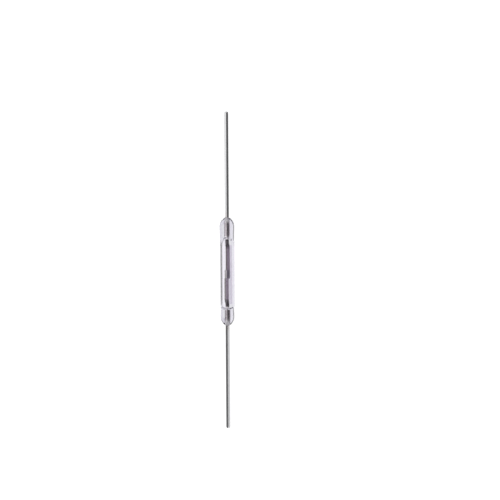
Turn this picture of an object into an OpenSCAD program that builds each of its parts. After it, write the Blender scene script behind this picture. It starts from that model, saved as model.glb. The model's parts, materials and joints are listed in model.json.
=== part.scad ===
// Glass reed switch: two flat nickel-iron reeds, sealed into the ends of a clear glass tube.
// X runs along the switch, +X towards the upper lead, and Z is up as the switch lies.
// The origin is on the tube's axis, halfway along the glass. All sizes are in millimetres.

/* [Glass tube] */
// Length of the glass, from seal tip to seal tip
glass_len = 14.2; // [13:0.1:18]
// Outside diameter of the tube between its seals
tube_d = 1.88; // [1.7:0.01:2.3]
// Wall of the tube
tube_wall = 0.22; // [0.16:0.01:0.3]
// Glass left round the wire at each tip
seal_lip = 0.04; // [0.02:0.01:0.1]

/* [Upper seal] */
// Solid glass from the tip to the end of the hollow
upper_seal_len = 2.55; // [2.2:0.05:3.2]
// How far the seal swells beyond the tube, on the radius
upper_seal_swell = 0.045; // [0.02:0.005:0.12]
// From the tip to the widest point of the seal
upper_nose_len = 1.25; // [0.9:0.05:1.6]
// From the widest point to where the tube runs straight
upper_shoulder_len = 1.45; // [0.8:0.05:2]
// Length over which the hollow closes onto the wire
upper_hollow_taper = 1.2; // [0.6:0.05:1.6]

/* [Lower seal] */
// Solid glass from the tip to the end of the hollow
lower_seal_len = 2.0; // [1.7:0.05:2.6]
// Diameter of the seal at its widest
lower_seal_d = 1.85; // [1.7:0.01:2.1]
// From the tip to the widest point of the seal
lower_nose_len = 1.15; // [0.8:0.05:1.4]
// Length over which the hollow closes onto the wire
lower_hollow_taper = 0.85; // [0.5:0.05:1.2]
// From the tip to the narrowest point of the neck
neck_from_tip = 2.1; // [1.9:0.05:2.5]
// How far the neck dips below the seal or the tube, on the radius
neck_depth = 0.06; // [0.02:0.01:0.12]
// From the narrowest point of the neck to where the tube runs straight
neck_rise = 0.7; // [0.4:0.05:1.2]

/* [Leads] */
// Diameter of the bare wire
wire_d = 0.5; // [0.4:0.01:0.6]
// Thickness of the tin on the lead outside the glass
tin_coat = 0.01; // [0.004:0.001:0.03]
// Length beside the glass over which the tin thins out
tin_fade = 0.6; // [0.55:0.05:2]
// Length of the upper lead outside the glass
upper_lead_len = 14.0; // [6:0.1:25]
// Length of the lower lead outside the glass
lower_lead_len = 13.6; // [6:0.1:25]

/* [Reeds] */
// Width of the flattened blade
blade_w = 0.95; // [0.7:0.01:1.1]
// Thickness of the flattened blade
blade_t = 0.16; // [0.12:0.01:0.24]
// Gap between the blades while the switch is open
contact_gap = 0.04; // [0.02:0.005:0.08]
// Length over which the blades lie face to face
contact_overlap = 1.1; // [0.6:0.05:2]
// Middle of the contact along X
contact_x = -0.4; // [-1:0.1:1]
// Round wire between the seal and the stamped taper
wire_stub = 0.6; // [0.3:0.05:0.9]
// Length of the stamped taper from round wire to flat blade
stamp_len = 0.8; // [0.4:0.05:1.2]
// Radius of the corners at the blade's tip
tip_corner = 0.12; // [0.05:0.01:0.25]
// How far the blades are turned about the tube's axis as the switch lies
blade_roll = 60; // [0:1:180]

/* [Hidden] */
$fa = 1;
$fs = 0.03;
loft_fn = 32;
// Thin slice that stands for a section in a loft, and how far a loft's end sits inside the wire
slice = 0.01;
loft_inset = 0.004;

tube_r = tube_d / 2;
hollow_r = tube_r - tube_wall;
wire_r = wire_d / 2;
lead_r = wire_r + tin_coat;
tip_r = wire_r + seal_lip;
glass_end = glass_len / 2;

// Places along X, measured from the middle of the glass towards the named end
upper_widest = glass_end - upper_nose_len;
upper_straight = upper_widest - upper_shoulder_len;
upper_hollow_end = glass_end - upper_seal_len;
lower_widest = glass_end - lower_nose_len;
lower_hollow_end = glass_end - lower_seal_len;
neck_at = glass_end - neck_from_tip;
lower_straight = neck_at - neck_rise;

upper_seal_r = tube_r + upper_seal_swell;
lower_seal_r = lower_seal_d / 2;
neck_r = min(tube_r, lower_seal_r) - neck_depth;

upper_root = upper_hollow_end - wire_stub - stamp_len;
lower_root = lower_hollow_end - wire_stub - stamp_len;
upper_blade_len = upper_root - contact_x + contact_overlap / 2;
lower_blade_len = lower_root + contact_x + contact_overlap / 2;
blade_level = (contact_gap + blade_t) / 2;

// Radius of the arc that starts level and drops by the given amount over the given length
function arc_radius(len, drop) = (len * len + drop * drop) / (2 * drop);

// Turns a shape drawn round Z so that its Z runs along +X
module along_x() rotate([0, 90, 0]) children();

// Turns a shape end for end, so that what was built towards +X points to -X
module other_end() rotate([0, 0, 180]) children();

// Half of a side view, with the radius on x and the length on y, between two lengths
module span(from, to, r) translate([0, from]) square([r, to - from]);

// The stretch between two lengths under an arc whose highest point is at the given length
module arc_span(from, to, at, peak, rho)
    intersection() {
        translate([peak - rho, at]) circle(r = rho);
        span(from, to, peak);
    }

// The stretch between a higher and a lower radius, which leaves both of them level, along two equal arcs
module eased_span(high_at, high_r, low_at, low_r) {
    mid_at = (high_at + low_at) / 2;
    mid_r = (high_r + low_r) / 2;
    rho = arc_radius(abs(high_at - low_at) / 2, (high_r - low_r) / 2);
    arc_span(min(high_at, mid_at), max(high_at, mid_at), high_at, high_r, rho);
    difference() {
        span(min(low_at, mid_at), max(low_at, mid_at), mid_r);
        translate([low_r + rho, low_at]) circle(r = rho);
    }
}

// Outside of the glass at the upper end: a bullet nose, swelling a little beyond the tube
module upper_seal_outline() {
    arc_span(upper_widest, glass_end, upper_widest, upper_seal_r,
             arc_radius(upper_nose_len, upper_seal_r - tip_r));
    eased_span(upper_widest, upper_seal_r, upper_straight, tube_r);
}

// Outside of the glass at the lower end: a bullet nose behind a pinched neck
module lower_seal_outline() {
    arc_span(-glass_end, -lower_widest, -lower_widest, lower_seal_r,
             arc_radius(lower_nose_len, lower_seal_r - tip_r));
    eased_span(-lower_widest, lower_seal_r, -neck_at, neck_r);
    eased_span(-lower_straight, tube_r, -neck_at, neck_r);
}

// The gas space: a straight bore that rounds down onto the wire at both ends
module hollow_outline() {
    drop = hollow_r - wire_r;
    upper_from = upper_hollow_end - upper_hollow_taper;
    lower_from = lower_hollow_end - lower_hollow_taper;
    span(-lower_from, upper_from, hollow_r);
    arc_span(upper_from, upper_hollow_end, upper_from, hollow_r, arc_radius(upper_hollow_taper, drop));
    arc_span(-lower_hollow_end, -lower_from, -lower_from, hollow_r, arc_radius(lower_hollow_taper, drop));
}

// One piece of glass, revolved: the tube, both seals and the two passages that the wires fill
module glass_envelope()
    color([0.88, 0.87, 0.92, 0.4]) along_x() rotate_extrude()
        difference() {
            union() {
                upper_seal_outline();
                span(-lower_straight, upper_straight, tube_r);
                lower_seal_outline();
            }
            hollow_outline();
            span(-glass_end, glass_end, wire_r);
        }

// Section of the flattened blade: straight faces and round edges
module blade_section() {
    square([blade_w - blade_t, blade_t], center = true);
    for (side = [-1, 1])
        translate([side * (blade_w - blade_t) / 2, 0]) circle(d = blade_t);
}

// Plan of a blade from its root at 0 to its tip at len, with round corners at the tip
module blade_plan(len) {
    translate([0, -blade_w / 2]) square([len - tip_corner, blade_w]);
    translate([0, tip_corner - blade_w / 2]) square([len, blade_w - 2 * tip_corner]);
    for (side = [-1, 1])
        translate([len - tip_corner, side * (blade_w / 2 - tip_corner)]) circle(r = tip_corner);
}

// A section drawn in a plane across the switch, drawn out along +X by len
module across(len) rotate([90, 0, 90]) linear_extrude(len) children();

// A flat blade that starts at x = 0 and runs along +X
module blade(len)
    intersection() {
        across(len) blade_section();
        translate([0, 0, -blade_t]) linear_extrude(2 * blade_t) blade_plan(len);
    }

// Outside lead, sealed wire and stub, revolved: a round tip and a coat of tin that fades out at the glass
module wire(lead_len, seal_len)
    along_x() rotate_extrude() {
        tip = glass_end + lead_len;
        tin_full = glass_end + tin_fade;
        span(glass_end - seal_len - wire_stub, glass_end, wire_r);
        polygon([[0, glass_end], [wire_r, glass_end], [lead_r, tin_full], [0, tin_full]]);
        span(tin_full, tip - lead_r, lead_r);
        arc_span(tip - lead_r, tip, tip - lead_r, lead_r, lead_r);
    }

// Stamped taper from the round wire at the stub's end down to the blade's section at its root
module stamped_taper(root, level)
    hull() {
        translate([root + stamp_len, 0, 0]) across(slice) circle(r = wire_r - loft_inset, $fn = loft_fn);
        translate([root, 0, level]) across(slice) blade_section($fn = loft_fn);
    }

// The fixed part of a reed, on the +X side, with its blade's root at the given height
module lead(lead_len, seal_len, root, level) {
    wire(lead_len, seal_len);
    stamped_taper(root, level);
}

// Turns the reeds about the tube's axis
module turned() rotate([blade_roll, 0, 0]) children();

module upper_lead()
    color([0.62, 0.62, 0.64]) turned() lead(upper_lead_len, upper_seal_len, upper_root, blade_level);

module upper_blade()
    color([0.5, 0.48, 0.53]) turned()
        translate([upper_root, 0, blade_level]) other_end() blade(upper_blade_len);

module lower_lead()
    color([0.62, 0.62, 0.64]) turned()
        other_end() lead(lower_lead_len, lower_seal_len, lower_root, -blade_level);

module lower_blade()
    color([0.5, 0.48, 0.53]) turned()
        translate([-lower_root, 0, -blade_level]) blade(lower_blade_len);

glass_envelope();
upper_lead();
upper_blade();
lower_lead();
lower_blade();
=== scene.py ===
import json
import math

import bpy
import numpy as np
from mathutils import Matrix, Vector


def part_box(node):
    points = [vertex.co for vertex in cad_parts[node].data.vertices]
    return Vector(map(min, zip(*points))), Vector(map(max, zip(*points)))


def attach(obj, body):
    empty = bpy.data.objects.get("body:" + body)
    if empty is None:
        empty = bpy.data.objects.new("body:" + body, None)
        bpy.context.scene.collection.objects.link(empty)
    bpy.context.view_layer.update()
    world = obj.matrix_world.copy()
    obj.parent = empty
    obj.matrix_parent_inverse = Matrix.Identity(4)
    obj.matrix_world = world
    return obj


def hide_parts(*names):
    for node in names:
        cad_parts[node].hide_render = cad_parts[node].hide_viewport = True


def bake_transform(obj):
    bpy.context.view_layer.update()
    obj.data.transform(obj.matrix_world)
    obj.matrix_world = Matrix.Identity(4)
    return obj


# Glass reed switch: a sealed tube of clear glass and two reeds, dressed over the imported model
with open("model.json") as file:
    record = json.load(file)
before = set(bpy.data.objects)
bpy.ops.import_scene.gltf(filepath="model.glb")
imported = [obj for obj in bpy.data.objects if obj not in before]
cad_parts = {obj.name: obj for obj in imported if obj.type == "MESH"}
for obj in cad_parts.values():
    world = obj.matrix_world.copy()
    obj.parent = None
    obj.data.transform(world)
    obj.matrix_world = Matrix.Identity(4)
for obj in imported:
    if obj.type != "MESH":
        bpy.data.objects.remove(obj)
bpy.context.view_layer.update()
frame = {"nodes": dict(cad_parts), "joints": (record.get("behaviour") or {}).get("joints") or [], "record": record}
print("frame loaded:", ", ".join(sorted(frame["nodes"])))

mm = 0.001
scene = bpy.context.scene


# The frame's metres as millimetres, to a tenth of a micrometre
def inMm(metres):
    return round(metres / mm, 4)


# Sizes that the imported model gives; the reeds' level and roll are those of the upper blade's hinge
mountR = {mount["name"]: mount["dims"]["r_mm"] for mount in frame["record"]["mounts"]}
hinge = {joint["name"]: joint for joint in frame["joints"]}
glassEnd = inMm(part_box("glass_envelope")[1].x)
tubeR, leadR = mountR["glass_tube"], mountR["upper_lead"]
tinCoat = 0.01
wireR = leadR - tinCoat
upperHinge = hinge["upper_blade_flex"]
bladeLevel = inMm(math.hypot(*upperHinge["pos_m"][1:]))
bladeRoll = math.atan2(-upperHinge["axis"][2], -upperHinge["axis"][1])


# Rings (rows, points round, xyz in millimetres) become one closed skin. loop joins the last ring to the
# first; otherwise a fan to a pole closes each end. The winding is turned if the volume comes out negative.
def skinRings(name, rings, loop=False, poles=None):
    rows, around = rings.shape[:2]
    verts = rings.reshape(-1, 3)
    index = np.arange(rows * around).reshape(rows, around)
    here = index if loop else index[:-1]
    beyond = np.roll(index, -1, 0) if loop else index[1:]
    quads = np.stack([here, np.roll(here, -1, 1), np.roll(beyond, -1, 1), beyond], -1).reshape(-1, 4)
    tris = np.zeros((0, 3), int)
    if poles is not None:
        verts = np.vstack([verts, poles])
        first, last = np.full(around, rows * around), np.full(around, rows * around + 1)
        tris = np.vstack([
            np.stack([first, np.roll(index[0], -1), index[0]], -1),
            np.stack([last, index[-1], np.roll(index[-1], -1)], -1),
        ])
    corners = np.vstack([quads[:, [0, 1, 2]], quads[:, [0, 2, 3]], tris])
    a, b, c = (verts[corners[:, k]] for k in range(3))
    if np.einsum("ij,ij->", a, np.cross(b, c)) < 0:
        quads, tris = quads[:, ::-1], tris[:, ::-1]
    mesh = bpy.data.meshes.new(name)
    mesh.from_pydata((verts * mm).tolist(), [], quads.tolist() + tris.tolist())
    mesh.polygons.foreach_set("use_smooth", np.ones(len(mesh.polygons), bool))
    mesh.update()
    piece = bpy.data.objects.new(name, mesh)
    scene.collection.objects.link(piece)
    return piece


# Smooth step from 0 to 1 with level ends
def eased(t):
    t = np.clip(t, 0, 1)
    return t * t * (3 - 2 * t)


# Points of a circle's arc that starts level at (x0, r0) and falls by drop over length, towards +X or -X
def levelArc(x0, r0, length, drop, towards, count):
    rho = (length**2 + drop**2) / (2 * drop)
    turn = np.linspace(0, math.asin(length / rho), count)
    return np.stack([x0 + towards * rho * np.sin(turn), r0 - rho * (1 - np.cos(turn))], -1)


# Points of a stretch whose radius goes by a smooth step from one value to the other
def easedRun(x0, r0, x1, r1, count):
    t = np.linspace(0, 1, count)
    return np.stack([x0 + (x1 - x0) * t, r0 + (r1 - r0) * eased(t)], -1)


# Points of a parabola that leaves a profile's end along its own slope and runs out level at another radius
def wetEdge(profile, endR, run, count):
    before, start = profile[-2:]
    slope = start - before
    corner = start + slope * (endR - start[1]) / slope[1]
    end = corner + np.array([math.copysign(run, slope[0]), 0])
    t = np.linspace(0, 1, count)[1:, None]
    return (1 - t) ** 2 * start + 2 * t * (1 - t) * corner + t**2 * end


# Each socket of a node takes a number, a colour or vector of three numbers, or another node's output
def feed(tree, node, sockets):
    for name, value in sockets.items():
        socket = node.inputs[name]
        if isinstance(value, bpy.types.NodeSocket):
            tree.links.new(value, socket)
        else:
            socket.default_value = (*value, 1) if socket.type == "RGBA" else value
    return node


def addNode(tree, kind, sockets, **settings):
    node = tree.nodes.new("ShaderNode" + kind)
    for name, value in settings.items():
        setattr(node, name, value)
    return feed(tree, node, sockets)


def newMaterial(name):
    material = bpy.data.materials.new(name)
    material.use_nodes = True
    return material, material.node_tree


# Object coordinates in millimetres, whole and split into the three axes
def objectPlace(tree):
    coords = addNode(tree, "TexCoord", {})
    place = addNode(tree, "VectorMath", {0: coords.outputs["Object"], "Scale": 1 / mm}, operation="SCALE")
    return place.outputs[0], addNode(tree, "SeparateXYZ", {0: place.outputs[0]}).outputs


def noise(tree, place, stretch, scale, detail, rough):
    mapping = addNode(tree, "Mapping", {"Vector": place, "Scale": stretch})
    sockets = {"Vector": mapping.outputs[0], "Scale": scale, "Detail": detail, "Roughness": rough}
    return addNode(tree, "TexNoise", sockets).outputs["Fac"]


# A value's range carried over to another range, by a smooth step unless another kind is asked for
def ranged(tree, value, low, high, outLow=0.0, outHigh=1.0, kind="SMOOTHSTEP"):
    sockets = {"Value": value, "From Min": low, "From Max": high, "To Min": outLow, "To Max": outHigh}
    return addNode(tree, "MapRange", sockets, interpolation_type=kind).outputs[0]


def combined(tree, operation, *values):
    return addNode(tree, "Math", dict(enumerate(values)), operation=operation).outputs[0]


def mixed(tree, factor, colourA, colourB):
    sockets = {"Factor": factor, "A": colourA, "B": colourB}
    return addNode(tree, "Mix", sockets, data_type="RGBA").outputs["Result"]


def bumped(tree, height, depth, strength):
    sockets = {"Height": height, "Distance": depth * mm, "Strength": strength}
    return addNode(tree, "Bump", sockets).outputs[0]


cameraView = {
    "lens": 200.0, "sensor": 36.0, "clip": (0.01, 20.0),
    "frameMm": 65.95,                 # width of the picture at the switch's axis
    "picturePx": 500,
    "middlePx": (227.25, 271.35),     # where the middle of the glass lies in the picture
    "tiltDeg": 0.4,
}


# The camera looks straight down, with +X up the picture apart from the tilt
def addCamera(view):
    data = bpy.data.cameras.new("camera")
    data.lens, data.sensor_width = view["lens"], view["sensor"]
    data.clip_start, data.clip_end = view["clip"]
    tilt = math.radians(view["tiltDeg"])
    right = Vector((-math.sin(tilt), -math.cos(tilt), 0))
    up = Vector((math.cos(tilt), -math.sin(tilt), 0))
    perPx = view["frameMm"] * mm / view["picturePx"]
    across, down = (px - view["picturePx"] / 2 for px in view["middlePx"])
    place = up * down * perPx - right * across * perPx
    place.z = view["lens"] / view["sensor"] * view["frameMm"] * mm
    turn = Matrix((right, up, Vector((0, 0, 1)))).transposed().to_4x4()
    camera = bpy.data.objects.new("camera", data)
    camera.matrix_world = Matrix.Translation(place) @ turn
    scene.collection.objects.link(camera)
    scene.camera = camera


addCamera(cameraView)
print("camera placed")

# noseLen, sealLen and neck are measured from a seal's tip, and swell is added to the tube's radius
glass = {
    "upper": {"side": 1, "noseLen": 1.25, "swell": 0.045, "sealLen": 2.55, "hollowTaper": 1.2,
              "shoulder": 1.45},
    "lower": {"side": -1, "noseLen": 1.15, "swell": -0.015, "sealLen": 2.0, "hollowTaper": 0.85,
              "neck": 2.1, "neckDepth": 0.06, "neckRise": 0.7},
    "wall": 0.22,
    "tipLip": 0.04,                       # glass left round the wire where a nose's arc would end
    "wetFrom": 0.035, "wetRun": 0.05,     # height at which the edge that wets the wire starts, and its run
    "sunk": 0.012,                        # the glass reaches this far into the wire, its passages twice that
    "passageStep": 0.02,
    "rows": {"nose": 40, "wetEdge": 14, "ease": 18, "straight": 16, "hollowEnd": 28, "passage": 6},
    "around": 144,
    "oval": {"share": 0.006, "from": 4.6, "run": 0.8, "twist": 1.1, "tipFade": 0.5},
    "clear": (0.985, 0.98, 0.99), "ior": 1.5, "tint": (0.775, 0.765, 0.81), "tintDensity": 420.0,
    "drawn": {"stretch": (0.12, 2.6, 2.6), "scale": 2.0, "detail": 3.0, "rough": 0.55},
    "drawnRange": (0.3, 0.8), "drawnDepth": 0.002, "drawnStrength": 0.35, "polish": (0.0, 0.03),
    "noseRoughness": 0.06, "noseDullAt": (-0.75, -0.1),    # from the glass's end
}


# One nose as (x, radius): an arc from the seal's widest point to its tip, then the edge that wets the wire
def noseRun(g, seal):
    sealR = tubeR + seal["swell"]
    drop = sealR - wireR - g["tipLip"]
    start = seal["side"] * (glassEnd - seal["noseLen"])
    arc = levelArc(start, sealR, seal["noseLen"], drop, seal["side"], g["rows"]["nose"])
    arc = arc[arc[:, 1] > wireR + g["wetFrom"]]
    return np.vstack([arc, wetEdge(arc, wireR - g["sunk"], g["wetRun"], g["rows"]["wetEdge"])])


# One end of the hollow as (x, radius): an arc from the straight bore down into the wire
def hollowRun(g, seal):
    hollowR = tubeR - g["wall"]
    drop = hollowR - wireR + g["sunk"]
    start = seal["side"] * (glassEnd - seal["sealLen"] - seal["hollowTaper"])
    return levelArc(start, hollowR, seal["hollowTaper"], drop, seal["side"], g["rows"]["hollowEnd"])


# Half of a side view as (x, radius), once round the section: along the outside, in by the upper passage,
# back along the hollow and out by the lower passage
def glassProfile(g):
    upper, lower, rows = g["upper"], g["lower"], g["rows"]
    upperNose, lowerNose = noseRun(g, upper), noseRun(g, lower)
    upperEnd, lowerEnd = hollowRun(g, upper), hollowRun(g, lower)
    (upperWidest, upperSealR), (lowerWidest, lowerSealR) = upperNose[0], lowerNose[0]
    upperStraight = upperWidest - upper["shoulder"]
    neckAt = lower["neck"] - glassEnd
    lowerStraight = neckAt + lower["neckRise"]
    neckR = min(tubeR, lowerSealR) - lower["neckDepth"]
    passageR, step = wireR - 2 * g["sunk"], g["passageStep"]
    (upperBore, boreR), (lowerBore, _) = upperEnd[0], lowerEnd[0]
    outside = np.vstack([
        lowerNose[::-1],
        easedRun(lowerWidest, lowerSealR, neckAt, neckR, rows["ease"])[1:],
        easedRun(neckAt, neckR, lowerStraight, tubeR, rows["ease"])[1:],
        easedRun(lowerStraight, tubeR, upperStraight, tubeR, rows["straight"])[1:],
        easedRun(upperStraight, tubeR, upperWidest, upperSealR, rows["ease"])[1:],
        upperNose[1:],
    ])
    inside = np.vstack([
        easedRun(upperNose[-1, 0] - step, passageR, upperEnd[-1, 0] + step, passageR, rows["passage"]),
        upperEnd[::-1],
        easedRun(upperBore, boreR, lowerBore, boreR, rows["straight"])[1:-1],
        lowerEnd,
        easedRun(lowerEnd[-1, 0] - step, passageR, lowerNose[-1, 0] + step, passageR, rows["passage"]),
    ])
    return outside, inside


# The profile is turned once round X. The outside of the seals is a few thousandths oval, as melted glass is:
# a sine of twice the turn, which twists along X and fades out towards the tube and the tips
def buildGlass(g):
    outside, inside = glassProfile(g)
    profile = np.vstack([outside, inside])
    x, r = profile[:, :1], profile[:, 1:]
    turn = np.linspace(0, 2 * math.pi, g["around"], endpoint=False)
    oval = g["oval"]
    share = oval["share"] * eased((np.abs(x) - oval["from"]) / oval["run"])
    share = share * eased((r - wireR - g["wetFrom"]) / oval["tipFade"])
    share[len(outside):] = 0
    r = r * (1 + share * np.sin(2 * turn + oval["twist"] * x))
    rings = np.stack(np.broadcast_arrays(x, r * np.cos(turn), r * np.sin(turn)), -1)
    return skinRings("glass_tube", rings, loop=True)


# Clear glass with a faint lilac body, drawn lines along the tube, an uneven polish and duller nose tips
def glassMaterial(g):
    material, tree = newMaterial("clear_glass")
    place, axes = objectPlace(tree)
    drawn = noise(tree, place, **g["drawn"])
    dullFrom, dullTo = (glassEnd + offset for offset in g["noseDullAt"])
    dull = ranged(tree, combined(tree, "ABSOLUTE", axes["X"]), dullFrom, dullTo, 0.0, g["noseRoughness"])
    feed(tree, tree.nodes["Principled BSDF"], {
        "Base Color": g["clear"], "Transmission Weight": 1.0, "IOR": g["ior"],
        "Roughness": combined(tree, "ADD", ranged(tree, drawn, *g["drawnRange"], *g["polish"]), dull),
        "Normal": bumped(tree, drawn, g["drawnDepth"], g["drawnStrength"]),
    })
    body = addNode(tree, "VolumeAbsorption", {"Color": g["tint"], "Density": g["tintDensity"]})
    feed(tree, tree.nodes["Material Output"], {"Volume": body.outputs[0]})
    return material


glassTube = buildGlass(glass)
glassTube.data.materials.append(glassMaterial(glass))
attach(glassTube, "envelope")
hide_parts("glass_envelope")
print("glass built")

# Pairs that end in At say where a colour starts and where it is full, measured from the place in their note
reed = {
    "bladeHalfW": 0.475, "bladeHalfT": 0.08, "taper": 0.8, "tipCorner": 0.12, "tipEdge": 0.03, "tinFade": 0.6,
    "wave": {"depth": 0.0012, "fast": 1.1, "slow": 0.45, "shift": 1.3, "fade": 2.0},
    "rows": {"dome": 12, "lead": 90, "fade": 10, "seal": 24, "taper": 28, "blade": 60, "tip": 16},
    "around": 72,
    "domeFrom": 0.12,                     # turn from the lead's tip to the first ring of its dome
    "bend": 0.3,                          # meant as how far the bending spreads to both sides of the blade's root; not read here
    # The two reeds are one metal: their tin, sealed wire and dark root colours differ as painted light and shade,
    # for how each end is lit
    "upper": {"side": 1, "tin": (0.55, 0.55, 0.56), "sealed": (0.45, 0.41, 0.43),
              "oxide": (0.065, 0.056, 0.066), "ringSpan": (-0.25, 0.11)},
    "lower": {"side": -1, "tin": (0.60, 0.60, 0.61), "sealed": (0.34, 0.31, 0.325),
              "oxide": (0.06, 0.046, 0.06), "ringSpan": (-0.38, 0.02)},
    # The pale colour where the glass wets the wire is a painted highlight on a matt finish
    "tinDull": (0.53, 0.53, 0.54), "thinTin": (0.55, 0.53, 0.535), "wetted": (0.9, 0.885, 0.9),
    "thinTinAt": (1.2, 0.2), "wettedAt": (-0.95, -0.4),    # from the glass's end
    "wettedMetallic": 0.2,
    # A pale ring painted on the wire as a highlight where the hollow closes on it
    "ring": (0.8, 0.77, 0.785), "ringBlur": 0.04,
    "sealedAt": (-0.15, 0.15),                             # from the end of the hollow
    # The root is painted dark as a dark reflection of its sloping taper
    "scorchedAt": (-0.25, 0.2),                            # from the blade's root
    # The blade's face and edge colours are painted shade, darker than its metal, for the dim surroundings it
    # reflects
    "face": (0.262, 0.212, 0.262), "edge": (0.22, 0.185, 0.19),
    "edgeAt": (-1.2, -0.7),                                # from the blade's side, in half thicknesses
    # The plated contact's faces are painted dark as the shadow where the blades overlap; its edges keep the
    # plating's pale colour
    "platedFace": (0.12, 0.105, 0.135), "platedEdge": (0.62, 0.59, 0.605), "platedLen": 1.1, "blur": 0.03,
    "mottle": {"stretch": (0.8, 2.0, 2.0), "scale": 2.2, "detail": 4.0, "rough": 0.55},
    "drawn": {"stretch": (0.25, 9.0, 9.0), "scale": 2.0, "detail": 3.0, "rough": 0.55},
    "mottleRange": (0.35, 0.75), "drawnRange": (0.25, 0.8), "roughness": (0.2, 0.36),
    "drawnDepth": 0.002, "drawnStrength": 0.25,
}


# A reed's own values with its places, measured from the middle of the glass towards its lead
def reedEnd(r, which):
    side = r[which]["side"]
    return {
        **r[which],
        "tip": max(side * inMm(corner.x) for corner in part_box(which + "_lead")),
        "bladeTip": min(side * inMm(corner.x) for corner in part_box(which + "_blade")),
        "root": side * inMm(hinge[which + "_blade_flex"]["pos_m"][0]),
        "hollowEnd": glassEnd - glass[which]["sealLen"],
    }


# Rows of (u, half width, half thickness, distance off the axis) for one stretch of a reed
def reedRows(u, halfW, halfT, away):
    return np.stack(np.broadcast_arrays(u, halfW, halfT, away), -1)


# Rows from the lead's tip to the blade's tip, with u measured from the middle of the glass towards the lead:
# a quarter circle, the tinned lead whose radius swings by a product of two sines, tin that thins out evenly,
# sealed wire, a taper half straight and half eased, the flat blade, and quarter circles at its tip's corners
def reedStations(r, end):
    tip, root, bladeTip, rows = end["tip"], end["root"], end["bladeTip"], r["rows"]
    halfW, halfT, wave = r["bladeHalfW"], r["bladeHalfT"], r["wave"]
    tinFull, taperTop = glassEnd + r["tinFade"], root + r["taper"]

    turn = np.linspace(r["domeFrom"], math.pi / 2, rows["dome"])
    domeR = leadR * np.sin(turn)
    dome = reedRows(tip - leadR + leadR * np.cos(turn), domeR, domeR, 0)

    u = np.linspace(tip - leadR, tinFull, rows["lead"])[1:]
    swing = wave["depth"] * np.sin(wave["fast"] * u) * np.sin(wave["slow"] * u + wave["shift"])
    tinR = leadR + swing * eased((tip - u) / wave["fade"]) * eased((u - tinFull) / wave["fade"])
    lead = reedRows(u, tinR, tinR, 0)

    u = np.linspace(tinFull, glassEnd, rows["fade"])[1:]
    thinR = wireR + tinCoat * (u - glassEnd) / r["tinFade"]
    fade = reedRows(u, thinR, thinR, 0)

    seal = reedRows(np.linspace(glassEnd, taperTop, rows["seal"])[1:], wireR, wireR, 0)

    t = np.linspace(0, 1, rows["taper"])[1:]
    share = (t + eased(t)) / 2
    taperW, taperT = (wireR + (half - wireR) * share for half in (halfW, halfT))
    taper = reedRows(taperTop - r["taper"] * t, taperW, taperT, bladeLevel * share)

    u = np.linspace(root, bladeTip + r["tipCorner"], rows["blade"])[1:]
    blade = reedRows(u, halfW, halfT, bladeLevel)

    turn = np.linspace(0, math.pi / 2, rows["tip"])[1:]
    toTip = r["tipCorner"] * (1 - np.sin(turn))
    corner = r["tipCorner"] * (1 - np.cos(turn))
    edge = r["tipEdge"] - np.sqrt(r["tipEdge"] ** 2 - np.maximum(0, r["tipEdge"] - toTip) ** 2)
    bladeEnd = reedRows(bladeTip + toTip, halfW - corner, halfT - edge, bladeLevel)
    return np.vstack([dome, lead, fade, seal, taper, blade, bladeEnd])


# The point u along a blade's middle line, in millimetres
def onBlade(end, u):
    away = end["side"] * bladeLevel
    return np.array([end["side"] * u, -away * math.sin(bladeRoll), away * math.cos(bladeRoll)])


# One reed in one skin. A section has two straight faces and two half circles for edges, with points at equal
# steps along its outline from the middle of one edge. A round wire is the case with no faces.
def buildReed(name, r, end):
    u, halfW, halfT, away = reedStations(r, end).T[:, :, None]
    face, bend = 2 * np.maximum(halfW - halfT, 0), math.pi * halfT
    step = np.linspace(0, 2, r["around"], endpoint=False) * (face + bend)
    rounded = np.clip(step, 0, bend / 2) + np.clip(step - bend / 2 - face, 0, bend)
    rounded = rounded + np.clip(step - 1.5 * bend - 2 * face, 0, bend / 2)
    centre = face / 2 - np.clip(step - bend / 2, 0, face) + np.clip(step - 1.5 * bend - face, 0, face)
    width = centre + halfT * np.cos(rounded / halfT)
    depth = halfT * np.sin(rounded / halfT) + end["side"] * away
    x = np.broadcast_to(end["side"] * u, step.shape)
    y = width * math.cos(bladeRoll) - depth * math.sin(bladeRoll)
    z = width * math.sin(bladeRoll) + depth * math.cos(bladeRoll)
    poles = np.vstack([[end["side"] * end["tip"], 0, 0], onBlade(end, end["bladeTip"])])
    return skinRings(name, np.stack([x, y, z], -1), poles=poles)
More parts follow.
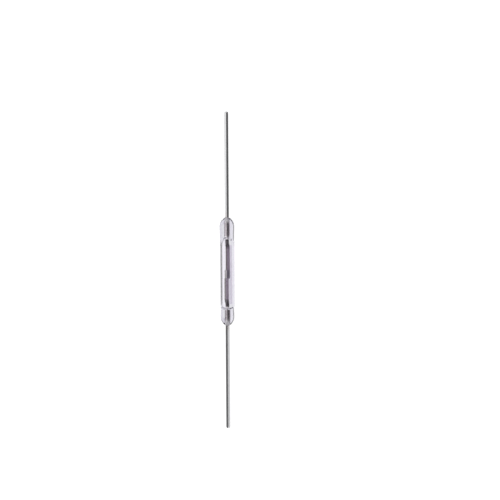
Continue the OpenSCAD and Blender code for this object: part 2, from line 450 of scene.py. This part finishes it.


# Tin outside the glass, bare wire in the seal with a pale ring where the hollow closes on it, a painted highlight,
# and a matt end where the glass wets it, painted pale as a highlight; a root painted dark as a dark reflection;
# and a blade in painted shade, darker than its metal, with its own edges and a plated contact at its tip whose
# faces are painted dark as the shadow where the blades overlap
def reedMaterial(name, r, end):
    material, tree = newMaterial(name)
    place, axes = objectPlace(tree)
    along = combined(tree, "MULTIPLY", axes["X"], end["side"])
    acrossY = combined(tree, "MULTIPLY", axes["Y"], math.cos(bladeRoll))
    acrossZ = combined(tree, "MULTIPLY", axes["Z"], math.sin(bladeRoll))
    offMiddle = combined(tree, "ABSOLUTE", combined(tree, "ADD", acrossY, acrossZ))
    drawn = noise(tree, place, **r["drawn"])
    mottle = noise(tree, place, **r["mottle"])

    # A mask along the reed, from where it starts to where it is full
    def passing(at, start, full):
        return ranged(tree, along, at + start, at + full)

    tin = mixed(tree, ranged(tree, mottle, *r["mottleRange"]), end["tin"], r["tinDull"])
    tin = mixed(tree, passing(glassEnd, *r["thinTinAt"]), tin, r["thinTin"])
    edgeFrom, edgeTo = (r["bladeHalfW"] + share * r["bladeHalfT"] for share in r["edgeAt"])
    onEdge = ranged(tree, offMiddle, edgeFrom, edgeTo)
    # The blade's face and edge colours are painted shade, darker than its metal, for the dim surroundings it
    # reflects
    bareShaded = mixed(tree, onEdge, r["face"], r["edge"])
    # The plated contact's faces are painted dark as the shadow where the blades overlap; its edges keep the
    # plating's pale colour
    platedShaded = mixed(tree, onEdge, r["platedFace"], r["platedEdge"])
    metal = mixed(tree, passing(end["bladeTip"] + r["platedLen"], r["blur"], -r["blur"]), bareShaded, platedShaded)
    # The root is painted dark as a dark reflection of its sloping taper
    metal = mixed(tree, passing(end["root"], *r["scorchedAt"]), metal, end["oxide"])
    # The sealed wire's colour differs between the reeds as painted light and shade
    metal = mixed(tree, passing(end["hollowEnd"], *r["sealedAt"]), metal, end["sealed"])
    # A pale ring painted on the wire as a highlight where the hollow closes on it
    ringFrom, ringTo = (end["hollowEnd"] + offset for offset in end["ringSpan"])
    ringStart = passing(ringFrom, -r["ringBlur"], r["ringBlur"])
    ringStop = passing(ringTo, r["ringBlur"], -r["ringBlur"])
    metal = mixed(tree, combined(tree, "MULTIPLY", ringStart, ringStop), metal, r["ring"])
    # The pale colour where the glass wets the wire is a painted highlight on a matt finish
    wetted = passing(glassEnd, *r["wettedAt"])
    metal = mixed(tree, wetted, metal, r["wetted"])
    outside = passing(glassEnd, -r["blur"], r["blur"])
    matt = combined(tree, "MULTIPLY", wetted, combined(tree, "SUBTRACT", 1.0, outside))
    feed(tree, tree.nodes["Principled BSDF"], {
        "Base Color": mixed(tree, outside, metal, tin),
        "Metallic": ranged(tree, matt, 0.0, 1.0, 1.0, r["wettedMetallic"]),
        "Roughness": ranged(tree, drawn, *r["drawnRange"], *r["roughness"]),
        "Normal": bumped(tree, drawn, r["drawnDepth"], r["drawnStrength"]),
    })
    return material


for which in ("upper", "lower"):
    end = reedEnd(reed, which)
    piece = buildReed(which + "_reed", reed, end)
    piece.data.materials.append(reedMaterial(which + "_reed_metal", reed, end))
    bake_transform(piece)
    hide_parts(which + "_lead", which + "_blade")
print("reeds built")

# Floor and light. The tent is lit on the left of the picture, which is +Y, and dim on its right.
stage = {
    "floorGap": 0.0055, "floorSize": 3000.0, "floorColour": (0.3, 0.3, 0.3), "floorGlow": 0.88,
    "bright": 1.15, "dim": 0.18, "turn": (-0.3, 0.85),    # the tent's sides, and where one becomes the other
    "ends": 1.1, "endsTurn": (0.42, 0.62),                # the tent beyond the two leads, and where it begins
    "bounces": 24,                                        # light runs far along inside the glass
}
softbox = {"at": (60, 210, 190), "aim": (4, 0, 0), "size": (380, 200), "watts": 0.12}
shades = {
    "white": (1.0, 1.0, 1.0), "bright": (0.93, 0.92, 0.97), "far": (0.9, 0.9, 0.93),
    "neutral": (0.89, 0.9, 0.915), "pale": (0.84, 0.83, 0.885), "lilac": (0.67, 0.64, 0.73),
    "wall": (0.45, 0.435, 0.475), "streak": (0.3, 0.3, 0.3), "dusk": (0.2, 0.2, 0.2),
    "lowerStreak": (0.16, 0.16, 0.16), "upperStreak": (0.15, 0.15, 0.15), "dark": (0.12, 0.115, 0.125),
}
onFloor, panelZ, sealPanelZ, reach = -0.97, -8.0, -7.9, 600.0
# Studio cards: strips along X through (y, z) points, in one shade or in shades graded along an axis, each
# seen by one kind of ray. Those beside the leads show in their reflections. The rest are seen through the
# glass, to which the floor is clear: a glowing panel, neutral under the seals, and flags that draw the edges.
cards = {
    "upperLeadFlag": {
        "x": (6.6, 26.0), "yz": [(-0.3, onFloor), (-3.0, onFloor), (-3.0, 3.0)],
        "seenBy": "glossy", "shade": "upperStreak",
    },
    "lowerLeadFlag": {
        "x": (-26.0, -6.6), "yz": [(0.35, onFloor), (3.0, onFloor), (3.0, 26.0)],
        "seenBy": "glossy", "shade": "lowerStreak",
    },
    "lowerLeadCard": {
        "x": (-26.0, -6.6), "yz": [(-0.35, onFloor), (-3.0, onFloor), (-3.0, 26.0)],
        "seenBy": "glossy", "shade": "white",
    },
    "tubeFlag": {
        "x": (-9.0, 9.0), "yz": [(1.02, onFloor), (1.75, onFloor)], "seenBy": "transmission",
        "along": "X", "graded": [(-5.0, "bright"), (-3.6, "streak"), (3.6, "streak"), (5.0, "bright")],
    },
    # The panel's lilac band under the right of the tube is a painted shadow of the reeds
    "panel": {
        "x": (-reach, reach), "yz": [(-60.0, panelZ), (80.0, panelZ)], "seenBy": "transmission",
        "along": "Y", "graded": [
            (-3.7, "pale"), (-2.7, "lilac"), (-0.9, "lilac"), (0.1, "bright"), (6.0, "bright"),
            (7.2, "dusk"), (12.5, "dusk"), (16.0, "far"),
        ],
    },
    # The seal panels carry the painted reed shadow's lilac to the seals' inner ends
    "upperSealPanel": {
        "x": (4.2, reach), "yz": [(-3.7, sealPanelZ), (-0.1, sealPanelZ)], "seenBy": "transmission",
        "along": "X", "graded": [(4.2, "lilac"), (4.7, "neutral")],
    },
    "lowerSealPanel": {
        "x": (-reach, -4.8), "yz": [(-3.7, sealPanelZ), (-0.1, sealPanelZ)], "seenBy": "transmission",
        "along": "X", "graded": [(-5.3, "neutral"), (-4.8, "lilac")],
    },
    "upperSealFlag": {
        "x": (3.4, 8.4), "yz": [(-3.0, 0.3), (-3.0, 3.6)], "seenBy": "transmission",
        "along": "X", "graded": [(3.4, "wall"), (4.9, "dark"), (6.7, "dark"), (8.4, "wall")],
    },
    "lowerSealFlag": {
        "x": (-8.4, -3.8), "yz": [(-3.0, 0.3), (-3.0, 3.6)], "seenBy": "transmission",
        "along": "X", "graded": [(-8.4, "wall"), (-6.7, "dark"), (-5.2, "dark"), (-3.8, "wall")],
    },
    "sideWall": {
        "x": (-reach, reach), "yz": [(-60.0, panelZ), (-60.0, 70.0)],
        "seenBy": "transmission", "shade": "wall",
    },
}


# Strips along X through (y, z) points, one flat face between each two
def addStrips(name, span, yz, material):
    verts = [(x * mm, y * mm, z * mm) for y, z in yz for x in span]
    faces = [(2 * k, 2 * k + 1, 2 * k + 3, 2 * k + 2) for k in range(len(yz) - 1)]
    mesh = bpy.data.meshes.new(name)
    mesh.from_pydata(verts, [], faces)
    mesh.materials.append(material)
    strips = bpy.data.objects.new(name, mesh)
    scene.collection.objects.link(strips)
    return strips


def addFloor(s):
    material, tree = newMaterial("pale_floor")
    feed(tree, tree.nodes["Principled BSDF"], {
        "Base Color": s["floorColour"], "Roughness": 1.0, "Specular IOR Level": 0.0,
        "Emission Color": shades["white"], "Emission Strength": s["floorGlow"],
    })
    half, z = s["floorSize"] / 2, -(tubeR + glass["upper"]["swell"] + s["floorGap"])
    floor = addStrips("floor", (-half, half), [(-half, z), (half, z)], material)
    floor.visible_transmission = False


def gradedColour(tree, axis, stops):
    first, last = stops[0][0], stops[-1][0]
    ramp = addNode(tree, "ValToRGB", {"Fac": ranged(tree, axis, first, last, kind="LINEAR")})
    elements = ramp.color_ramp.elements
    for k, (place, shade) in enumerate(stops):
        position = (place - first) / (last - first)
        element = elements[k] if k < 2 else elements.new(position)    # a new ramp has two
        element.position, element.color = position, (*shades[shade], 1)
    return ramp.outputs["Color"]


def addCard(name, card):
    material, tree = newMaterial(name)
    if "graded" in card:
        colour = gradedColour(tree, objectPlace(tree)[1][card["along"]], card["graded"])
    else:
        colour = shades[card["shade"]]
    glow = addNode(tree, "Emission", {"Color": colour})
    feed(tree, tree.nodes["Material Output"], {"Surface": glow.outputs[0]})
    strips = addStrips(name, card["x"], card["yz"], material)
    for rays in ("camera", "diffuse", "glossy", "transmission", "shadow", "volume_scatter"):
        setattr(strips, "visible_" + rays, rays == card["seenBy"])


def addSoftbox(name, box):
    data = bpy.data.lights.new(name, "AREA")
    data.shape = "RECTANGLE"
    data.size, data.size_y = (side * mm for side in box["size"])
    data.energy = box["watts"]
    lamp = bpy.data.objects.new(name, data)
    at, aim = Vector(box["at"]) * mm, Vector(box["aim"]) * mm
    lamp.location = at
    lamp.rotation_euler = (aim - at).to_track_quat("-Z", "X").to_euler()
    lamp.visible_camera = False
    scene.collection.objects.link(lamp)


# A white tent: its brightness goes by a smooth step across Y, with a lit wall beyond each end of X
def addTent(s):
    world = bpy.data.worlds.new("tent")
    world.use_nodes = True
    tree = world.node_tree
    coords = addNode(tree, "TexCoord", {})
    axes = addNode(tree, "SeparateXYZ", {0: coords.outputs["Generated"]}).outputs
    sides = ranged(tree, axes["Y"], *s["turn"], s["dim"], s["bright"])
    ends = ranged(tree, combined(tree, "ABSOLUTE", axes["X"]), *s["endsTurn"], 0.0, s["ends"])
    feed(tree, tree.nodes["Background"], {"Color": combined(tree, "MAXIMUM", sides, ends)})
    scene.world = world


addFloor(stage)
for name, card in cards.items():
    addCard(name, card)
addSoftbox("leftBox", softbox)
addTent(stage)
scene.view_settings.view_transform = "Standard"
scene.cycles.max_bounces = stage["bounces"]
scene.cycles.glossy_bounces = stage["bounces"]
scene.cycles.transmission_bounces = stage["bounces"]
print("stage and lights set")
